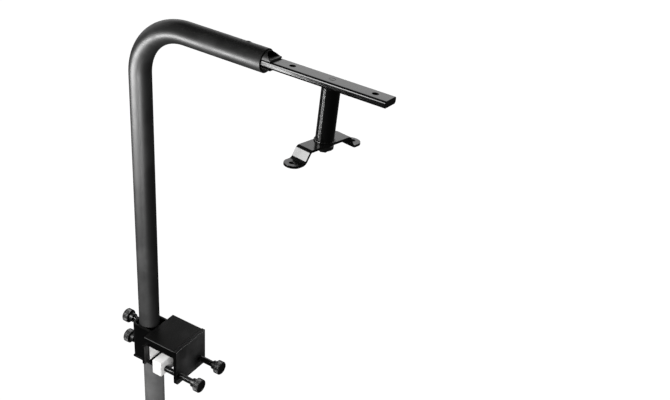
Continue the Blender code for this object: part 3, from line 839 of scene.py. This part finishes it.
class STAND_OT_cradle(Operator):
    """Stub, hat-shaped strap, weld bead and washer of the swivelling cradle"""

    bl_idname = "stand.cradle"
    bl_label = "Cradle"

    def execute(self, context):
        h = head()
        at = cradle_axes()
        outer, inner = h.stub / 2, h.stub / 2 - h.stub_wall
        top = -h.bar_thickness / 2 - GAP
        foot = -h.shelf_drop + GAP
        stub = turned("stub", ring_profile(outer, inner, foot, top, EDGES["stub"] * MM), 72, True)
        settle(stub, "cradle", "gloss_black", "cradle_stub", matrix=at)
        self.strap(h, at)
        self.foot_bead(h, at, outer)
        high = -h.shelf_drop - h.strap - GAP
        low = high - h.washer_height
        section = ring_profile(h.washer / 2, h.bolt_hole / 2, low, high, EDGES["washer"] * MM)
        washer = turned("washer", section, 48, True)
        settle(washer, "cradle", "dark_steel", "cradle_washer", matrix=at)
        return {"FINISHED"}

    def strap(self, h, at):
        """A plate whose ends are folded down and out again, with round feet."""
        deselect()
        half = h.strap_width / 2
        bpy.ops.mesh.primitive_plane_add(size=1, scale=(h.strap_width, 2 * h.shelf_half, 1))
        strap = named("strap")
        strap.scale = (h.strap_width, 2 * h.shelf_half, 1)
        bpy.ops.object.transform_apply(location=True, rotation=True, scale=True)
        edit(strap)
        for side in (-1, 1):
            end = side * h.shelf_half
            pick(lambda edge: all(abs(v.co.y - end) < TINY for v in edge.verts), "EDGE")
            push(y=side * (h.foot_start - h.shelf_half), z=-h.foot_drop)
            push(y=side * (h.foot_round - h.foot_start + half + MM))
        folds = (h.shelf_half, h.foot_start)
        pick(lambda edge: all(min(abs(abs(v.co.y) - fold) for fold in folds) < TINY for v in edge.verts)
             and abs(edge.verts[0].co.y - edge.verts[1].co.y) < TINY, "EDGE")
        bpy.ops.mesh.bevel(offset=h.fold, segments=5, affect="EDGES")
        weld_mesh()
        edit(strap)
        shelf = max(bmesh.from_edit_mesh(strap.data).faces, key=lambda face: face.calc_area())
        if shelf.normal.z < 0:
            bpy.ops.mesh.flip_normals()
        done()
        thicken(strap, h.strap)
        deselect()
        reach = 30 * MM
        bpy.ops.mesh.primitive_cylinder_add(vertices=64, radius=half, depth=2 * reach)
        trim = named("trim")
        edit(trim)
        pick(lambda vert: vert.co.y > -TINY)
        bpy.ops.transform.translate(value=(0, h.foot_round, 0))
        pick(lambda vert: vert.co.y < TINY)
        bpy.ops.transform.translate(value=(0, -h.foot_round, 0))
        done()
        carve(strap, trim, operation="INTERSECT")
        at_foot = h.foot_hole_place
        for place, diameter in ((0, h.bolt_hole), (at_foot, h.foot_hole), (-at_foot, h.foot_hole)):
            carve(strap, rod(diameter, -reach, reach, Matrix.Translation((0, place, 0)), 32))
        soften(strap, EDGES["strap"] * MM, 3, 60)
        lowered = at @ Matrix.Translation((0, 0, -h.shelf_drop))
        settle(strap, "cradle", "gloss_black", "cradle_strap", matrix=lowered)

    def foot_bead(self, h, at, outer):
        """The rippled bead that joins the stub to its strap."""
        deselect()
        steps = 96
        bpy.ops.mesh.primitive_torus_add(
            major_radius=outer, minor_radius=h.bead, major_segments=steps, minor_segments=10,
            location=(0, 0, -h.shelf_drop + h.bead - MM),
        )
        ring = named("stub_bead")
        bpy.ops.object.transform_apply(location=True, rotation=True, scale=True)
        edit(ring)
        step = math.tau / steps
        pick(lambda vert: round(math.atan2(vert.co.y, vert.co.x) / step) % 4 == 0)
        bpy.ops.transform.shrink_fatten(value=0.32 * MM)
        weld_mesh()
        settle(ring, "cradle", "gloss_black", matrix=at)


class STAND_OT_bolt(Operator):
    """Hexagon bolt up the middle of the stub"""

    bl_idname = "stand.bolt"
    bl_label = "Cradle bolt"

    def execute(self, context):
        h = head()
        at = head_axes()
        under = -h.shelf_drop - h.strap - 3 * GAP - h.washer_height
        corner, radius = h.bolt_head / 2, h.bolt / 2
        top = h.bar_thickness / 2
        low = under - h.bolt_head_height
        chamfer = 0.9 * MM
        hexagon = [(corner * 0.88, low), (corner, low + chamfer), (corner, under), (radius, under)]
        shank = [(radius, top - 4 * GAP), (radius - 2 * GAP, top - 2 * GAP)]
        bolt = turned("bolt", hexagon + shank, 6)
        settle(bolt, "head", "dark_steel", "cradle_bolt", matrix=at)
        cover = radius + 0.05 * MM
        dome = [(cover, top - 2 * MM), (cover, top - 0.5 * MM), (radius - 0.5 * MM, top - 0.15 * MM)]
        dome += [(0.3 * radius, top)]
        end = turned("bolt_end", dome, 40)
        settle(end, "head", "dark_steel", matrix=at)
        return {"FINISHED"}


class STAND_OT_socket(Operator):
    """Folded U plate round the arm's lower end, and its floor"""

    bl_idname = "stand.socket"
    bl_label = "Arm socket"

    def execute(self, context):
        c = clamp()
        socket = block("socket", SOCKET_LOW, SOCKET_HIGH)
        edit(socket)
        back = SOCKET_LOW.x
        pick(lambda edge: all(abs(v.co.x - back) < TINY for v in edge.verts)
             and abs(edge.verts[0].co.z - edge.verts[1].co.z) > MM, "EDGE")
        bpy.ops.mesh.bevel(offset=c.socket_bend, segments=8, affect="EDGES")
        pick(lambda face: abs(face.normal.z) > 0.9 or face.normal.x > 0.9, "FACE")
        bpy.ops.mesh.delete(type="FACE")
        done()
        thicken(socket, c.plate)
        for name in ("upper", "lower"):
            low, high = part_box(name + "_lock_screw")
            place = along_x(back, 0, (low.z + high.z) / 2)
            carve(socket, rod(c.screw_hole, -OVER, OVER, place))
        soften(socket, c.edge, 2, 60)
        settle(socket, "clamp", "satin_black", "arm_socket")
        floor = block("socket_base", FLOOR_LOW, FLOOR_HIGH)
        soften(floor, EDGES["floor"] * MM, 3)
        settle(floor, "clamp", "satin_black", "socket_floor")
        return {"FINISHED"}


class STAND_OT_clamp_box(Operator):
    """Folded top, inner wall, outer plate and weld beads of the rail clamp"""

    bl_idname = "stand.clamp_box"
    bl_label = "Rail clamp"

    def execute(self, context):
        c = clamp()
        self.folded_top(c)
        self.inner_wall(c)
        plate = block("screw_plate", PLATE_LOW, PLATE_HIGH)
        edit(plate)
        pick(lambda edge: all(v.co.z < PLATE_LOW.z + TINY for v in edge.verts)
             and abs(edge.verts[0].co.x - edge.verts[1].co.x) > MM, "EDGE")
        bpy.ops.mesh.bevel(offset=c.plate_corner, segments=8, affect="EDGES")
        done()
        for side in (-1, 1):
            place = along_x(PLATE_HIGH.x, side * c.screw_y, CLAMP_TOP - c.screw_drop)
            carve(plate, rod(c.screw_hole, -OVER, OVER, place))
        soften(plate, EDGES["plate"] * MM, 3)
        settle(plate, "clamp", "satin_black", "clamp_outer_plate")
        self.beads(c)
        return {"FINISHED"}

    def folded_top(self, c):
        top = block("clamp_lid", TOP_LOW, TOP_HIGH)
        edit(top)
        pick(lambda edge: all(v.co.z > TOP_HIGH.z - TINY for v in edge.verts)
             and abs(edge.verts[0].co.x - edge.verts[1].co.x) > MM, "EDGE")
        bpy.ops.mesh.bevel(offset=c.top_bend, segments=5, affect="EDGES")
        pick(lambda face: face.normal.z < -0.9 or abs(face.normal.x) > 0.9, "FACE")
        bpy.ops.mesh.delete(type="FACE")
        done()
        thicken(top, c.plate)
        soften(top, EDGES["lid"] * MM, 2, 60)
        settle(top, "clamp", "satin_black", "clamp_top")

    def inner_wall(self, c):
        wall = block("inner_wall", WALL_LOW, WALL_HIGH)
        inside = TOP_HIGH.y - c.plate - GAP
        notch = TOP_LOW.z - GAP
        for side in (-1, 1):
            near, far = sorted((side * inside, side * (WALL_HIGH.y + MM)))
            low = (WALL_LOW.x - MM, near, notch)
            carve(wall, block("cutter", low, (WALL_HIGH.x + MM, far, WALL_HIGH.z + MM)))
        soften(wall, EDGES["wall"] * MM, 2)
        settle(wall, "clamp", "satin_black", "clamp_inner_wall")

    def beads(self, c):
        """Beads where the socket's cheeks meet the inner wall."""
        inset = 2 * MM
        span = WALL_HIGH.z - WALL_LOW.z - 2 * inset
        for side, name in ((-1, "near"), (1, "far")):
            made = bead(name + "_cheek_bead", span, c.bead)
            place = Matrix.Translation((WALL_LOW.x, side * SOCKET_HIGH.y, WALL_LOW.z + inset))
            settle(made, "clamp", "satin_black", matrix=place)


class STAND_OT_jaw(Operator):
    """Pale jaw block and the fixed pad it faces"""

    bl_idname = "stand.jaw"
    bl_label = "Jaw and pad"

    def execute(self, context):
        jaw = block("jaw", JAW_LOW, JAW_HIGH)
        soften(jaw, EDGES["jaw"] * MM, 5)
        settle(jaw, "jaw", "jaw_pale", "jaw_block")
        pad = block("pad", PAD_LOW, PAD_HIGH)
        soften(pad, EDGES["pad"] * MM, 3)
        settle(pad, "clamp", "jaw_pale", "fixed_pad")
        return {"FINISHED"}


class STAND_OT_clamp_screws(Operator):
    """Threaded screws of the jaw and of the arm's lock"""

    bl_idname = "stand.clamp_screws"
    bl_label = "Clamp screws"

    def execute(self, context):
        for side in ("near", "far"):
            self.screw(side + "_jaw", "jaw", 1)
        for side in ("upper", "lower"):
            self.screw(side + "_lock", side + "_lock", -1)
        return {"FINISHED"}

    def screw(self, name, body, facing):
        low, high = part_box(name + "_screw")
        start = low.x if facing > 0 else high.x
        made = threaded(name + "_thread", high.x - low.x)
        place = along_x(start, (low.y + high.y) / 2, (low.z + high.z) / 2, facing)
        settle(made, body, "dark_steel", name + "_screw", matrix=place)


class STAND_OT_knobs(Operator):
    """Four ribbed thumb knobs"""

    bl_idname = "stand.knobs"
    bl_label = "Knobs"

    def execute(self, context):
        first = self.model()
        knobs = (("near_jaw", "near_knob", 1), ("far_jaw", "far_knob", 1))
        knobs += (("upper_lock", "upper_lock_grip", -1), ("lower_lock", "lower_lock_grip", -1))
        for name, body, facing in knobs:
            low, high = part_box(name + "_knob")
            knob = first.copy()
            knob.data = first.data.copy()
            bpy.context.scene.collection.objects.link(knob)
            knob.name = name + "_grip"
            knob.data.name = knob.name
            start = low.x if facing > 0 else high.x
            place = along_x(start, (low.y + high.y) / 2, (low.z + high.z) / 2, facing)
            settle(knob, body, "knob_black", name + "_knob", matrix=place)
        bpy.data.objects.remove(first, do_unlink=True)
        return {"FINISHED"}

    def model(self):
        """A neck, a ribbed head, and a shallow dish in its face."""
        s = screws()
        outer, neck, flare = s.knob / 2, s.neck / 2, 0.6 * MM
        low, high = s.neck_height, s.neck_height + s.knob_height
        foot, crown, rim = outer - s.knob_shoulder, outer - s.knob_crown, outer - s.knob_rim
        floor = rim - 0.8 * MM
        deselect()
        bpy.ops.mesh.primitive_circle_add(vertices=4 * s.ribs, radius=neck, fill_type="NGON")
        knob = named("knob")
        edit(knob)
        along_profile([(neck, 0), (neck, low - flare), (neck + flare, low)])
        widen(foot / (neck + flare), (0, 0, low))
        along_profile([(foot, low), (outer, low + s.knob_shoulder), (outer, high - s.knob_crown)])
        along_profile([(outer, high - s.knob_crown), (crown, high), (rim, high), (floor, high - s.dish)])
        step = math.tau / (4 * s.ribs)

        def in_groove(vert):
            across = math.hypot(vert.co.x, vert.co.y)
            turn = round(math.atan2(vert.co.y, vert.co.x) / step) % 4
            between = low + s.dish < vert.co.z < high - s.dish
            return between and across > outer - MM and turn in (0, 1)

        pick(in_groove)
        widen(1 - s.rib_depth / outer, (0, 0, 0))
        weld_mesh()
        return knob


class STAND_OT_mast(Operator):
    """Grey mast tube with its foot plug"""

    bl_idname = "stand.mast"
    bl_label = "Mast"

    def execute(self, context):
        t = tube()
        at = Matrix.Translation((MAST_X, 0, 0))
        outer = (MAST_HIGH.y - MAST_LOW.y) / 2
        section = ring_profile(outer, outer - t.wall, MAST_LOW.z, MAST_HIGH.z, t.rim_round)
        mast = turned("mast", section, 72, True)
        settle(mast, "clamp", "mast_grey", "mast_tube", matrix=at)
        self.plug(t, outer, at)
        return {"FINISHED"}

    def plug(self, t, outer, at):
        """A moulded plug: a rounded flange, and a ridged spigot up the tube."""
        inner, groove = outer - t.wall - GAP, 1.2 * MM
        flange = MAST_LOW.z - GAP
        profile = [(outer - 1.6 * MM, 0), (outer - 0.5 * MM, 0.5 * MM), (outer, 1.8 * MM), (outer, flange)]
        ridge = (PLUG_TOP - flange) / 4
        for i in range(3):
            low = flange + i * ridge
            profile += [(inner - groove, low), (inner - groove, low + ridge / 2)]
            profile += [(inner, low + ridge * 0.6), (inner, low + ridge * 0.8)]
        profile += [(inner - 2 * MM, PLUG_TOP)]
        plug = turned("foot_plug", profile, 64)
        settle(plug, "clamp", "plug_black", "mast_foot_plug", matrix=at)


class STAND_OT_stage(Operator):
    """Pale floor, soft studio light and the camera"""

    bl_idname = "stand.stage"
    bl_label = "Stage"

    def execute(self, context):
        self.floor()
        self.sky()
        for name, (names, place, target, size, power) in SOFTBOXES.items():
            self.softbox(name, names, place, target, size, power)
        self.camera()
        bpy.context.scene.view_settings.view_transform = "Standard"
        return {"FINISHED"}

    def floor(self):
        """White to the camera, and dimmer in the stand's own reflections."""
        deselect()
        bpy.ops.mesh.primitive_circle_add(vertices=96, radius=9, fill_type="NGON", location=(0, 0, -0.0005))
        floor = named("floor")
        made = bpy.data.materials.new("pale_floor")
        made.use_nodes = True
        tree = made.node_tree
        stage = bpy.context.scene.stand_stage
        shader = tree.nodes["Principled BSDF"]
        shader.inputs["Roughness"].default_value = 0.9
        shader.inputs["Specular IOR Level"].default_value = 0.1
        seen = node(tree, "LightPath").outputs["Is Camera Ray"]
        dim = (*(Vector(stage.floor) * stage.floor_bounce), 1)
        tree.links.new(mixed(tree, seen, dim, (*stage.floor, 1)), shader.inputs["Base Color"])
        shader.inputs["Emission Color"].default_value = (1, 1, 1, 1)
        tree.links.new(calc(tree, "MULTIPLY", seen, stage.floor_glow), shader.inputs["Emission Strength"])
        floor.data.materials.append(made)

    def sky(self):
        """A bright backdrop low behind the stand, and a dim room elsewhere; plain white to the camera."""
        world = bpy.data.worlds.new("studio")
        bpy.context.scene.world = world
        world.use_nodes = True
        tree = world.node_tree
        stage = bpy.context.scene.stand_stage
        where = node(tree, "TexCoord").outputs["Generated"]
        behind = node(tree, "VectorMath", operation="DOT_PRODUCT")
        tree.links.new(where, behind.inputs[0])
        behind.inputs[1].default_value = (math.sin(stage.azimuth), math.cos(stage.azimuth), 0)
        split = node(tree, "SeparateXYZ")
        tree.links.new(where, split.inputs[0])
        wall = spread(tree, behind.outputs["Value"], 0.1, 0.75)
        low = spread(tree, split.outputs["Z"], 0.62, 0.3)
        lit = calc(tree, "MULTIPLY_ADD", calc(tree, "MULTIPLY", wall, low), stage.backdrop, stage.room)
        seen = node(tree, "LightPath").outputs["Is Camera Ray"]
        tree.links.new(calc(tree, "MAXIMUM", lit, seen), tree.nodes["Background"].inputs["Strength"])
        tree.nodes["Background"].inputs["Color"].default_value = (1, 1, 1, 1)

    def softbox(self, name, names, place, target, size, power):
        """A soft light that reaches the named pieces."""
        light = bpy.data.lights.new(name, "AREA")
        light.shape = "RECTANGLE"
        light.size, light.size_y = size
        light.energy = power
        lamp = bpy.data.objects.new(name, light)
        bpy.context.scene.collection.objects.link(lamp)
        lamp.location = place
        away = Vector(place) - Vector(target)
        lamp.rotation_euler = away.to_track_quat("Z", "Y").to_euler()
        lit = bpy.data.collections.new(name + "_lights")
        for piece in names:
            lit.objects.link(bpy.data.objects[piece])
        lamp.light_linking.receiver_collection = lit

    def camera(self):
        s = bpy.context.scene.stand_stage
        flat = math.cos(s.elevation)
        forward = Vector((math.sin(s.azimuth) * flat, math.cos(s.azimuth) * flat, -math.sin(s.elevation)))
        right = Vector((math.cos(s.azimuth), -math.sin(s.azimuth), 0))
        down = forward.cross(right)
        across = math.cos(s.roll) * right + math.sin(s.roll) * down
        below = math.cos(s.roll) * down - math.sin(s.roll) * right
        axes = Matrix((across, -below, -forward)).transposed().to_4x4()
        data = bpy.data.cameras.new("camera")
        data.lens = s.lens
        data.sensor_width = 36
        data.clip_start = 0.01
        camera = bpy.data.objects.new("camera", data)
        bpy.context.scene.collection.objects.link(camera)
        camera.matrix_world = Matrix.Translation(s.place) @ axes
        bpy.context.scene.camera = camera


PIECES = (
    STAND_OT_arm,
    STAND_OT_head_bar,
    STAND_OT_cradle,
    STAND_OT_bolt,
    STAND_OT_socket,
    STAND_OT_clamp_box,
    STAND_OT_jaw,
    STAND_OT_clamp_screws,
    STAND_OT_knobs,
    STAND_OT_mast,
    STAND_OT_stage,
)

SETTINGS = {
    "stand_tube": StandTubeSizes,
    "stand_clamp": StandClampSizes,
    "stand_screws": StandScrewSizes,
    "stand_head": StandHeadSizes,
    "stand_colours": StandColours,
    "stand_stage": StandStage,
}


class STAND_PT_sidebar(Panel):
    """The stand's sizes, colours and pieces"""

    bl_idname = "STAND_PT_sidebar"
    bl_label = "Repair stand"
    bl_space_type = "VIEW_3D"
    bl_region_type = "UI"
    bl_category = "Repair stand"

    def draw(self, context):
        for piece in PIECES:
            self.layout.operator(piece.bl_idname)
        for name in SETTINGS:
            group = getattr(context.scene, name)
            box = self.layout.box()
            for prop in group.bl_rna.properties:
                if prop.identifier not in ("rna_type", "name"):
                    box.prop(group, prop.identifier)


CLASSES = (*SETTINGS.values(), *PIECES, STAND_PT_sidebar)


def register():
    for made in CLASSES:
        bpy.utils.register_class(made)
    for name, group in SETTINGS.items():
        setattr(bpy.types.Scene, name, PointerProperty(type=group))


def unregister():
    for name in SETTINGS:
        delattr(bpy.types.Scene, name)
    for made in reversed(CLASSES):
        bpy.utils.unregister_class(made)


def main():
    register()
    for piece in PIECES:
        area, name = piece.bl_idname.split(".")
        getattr(getattr(bpy.ops, area), name)()


if __name__ == "__main__":
    main()
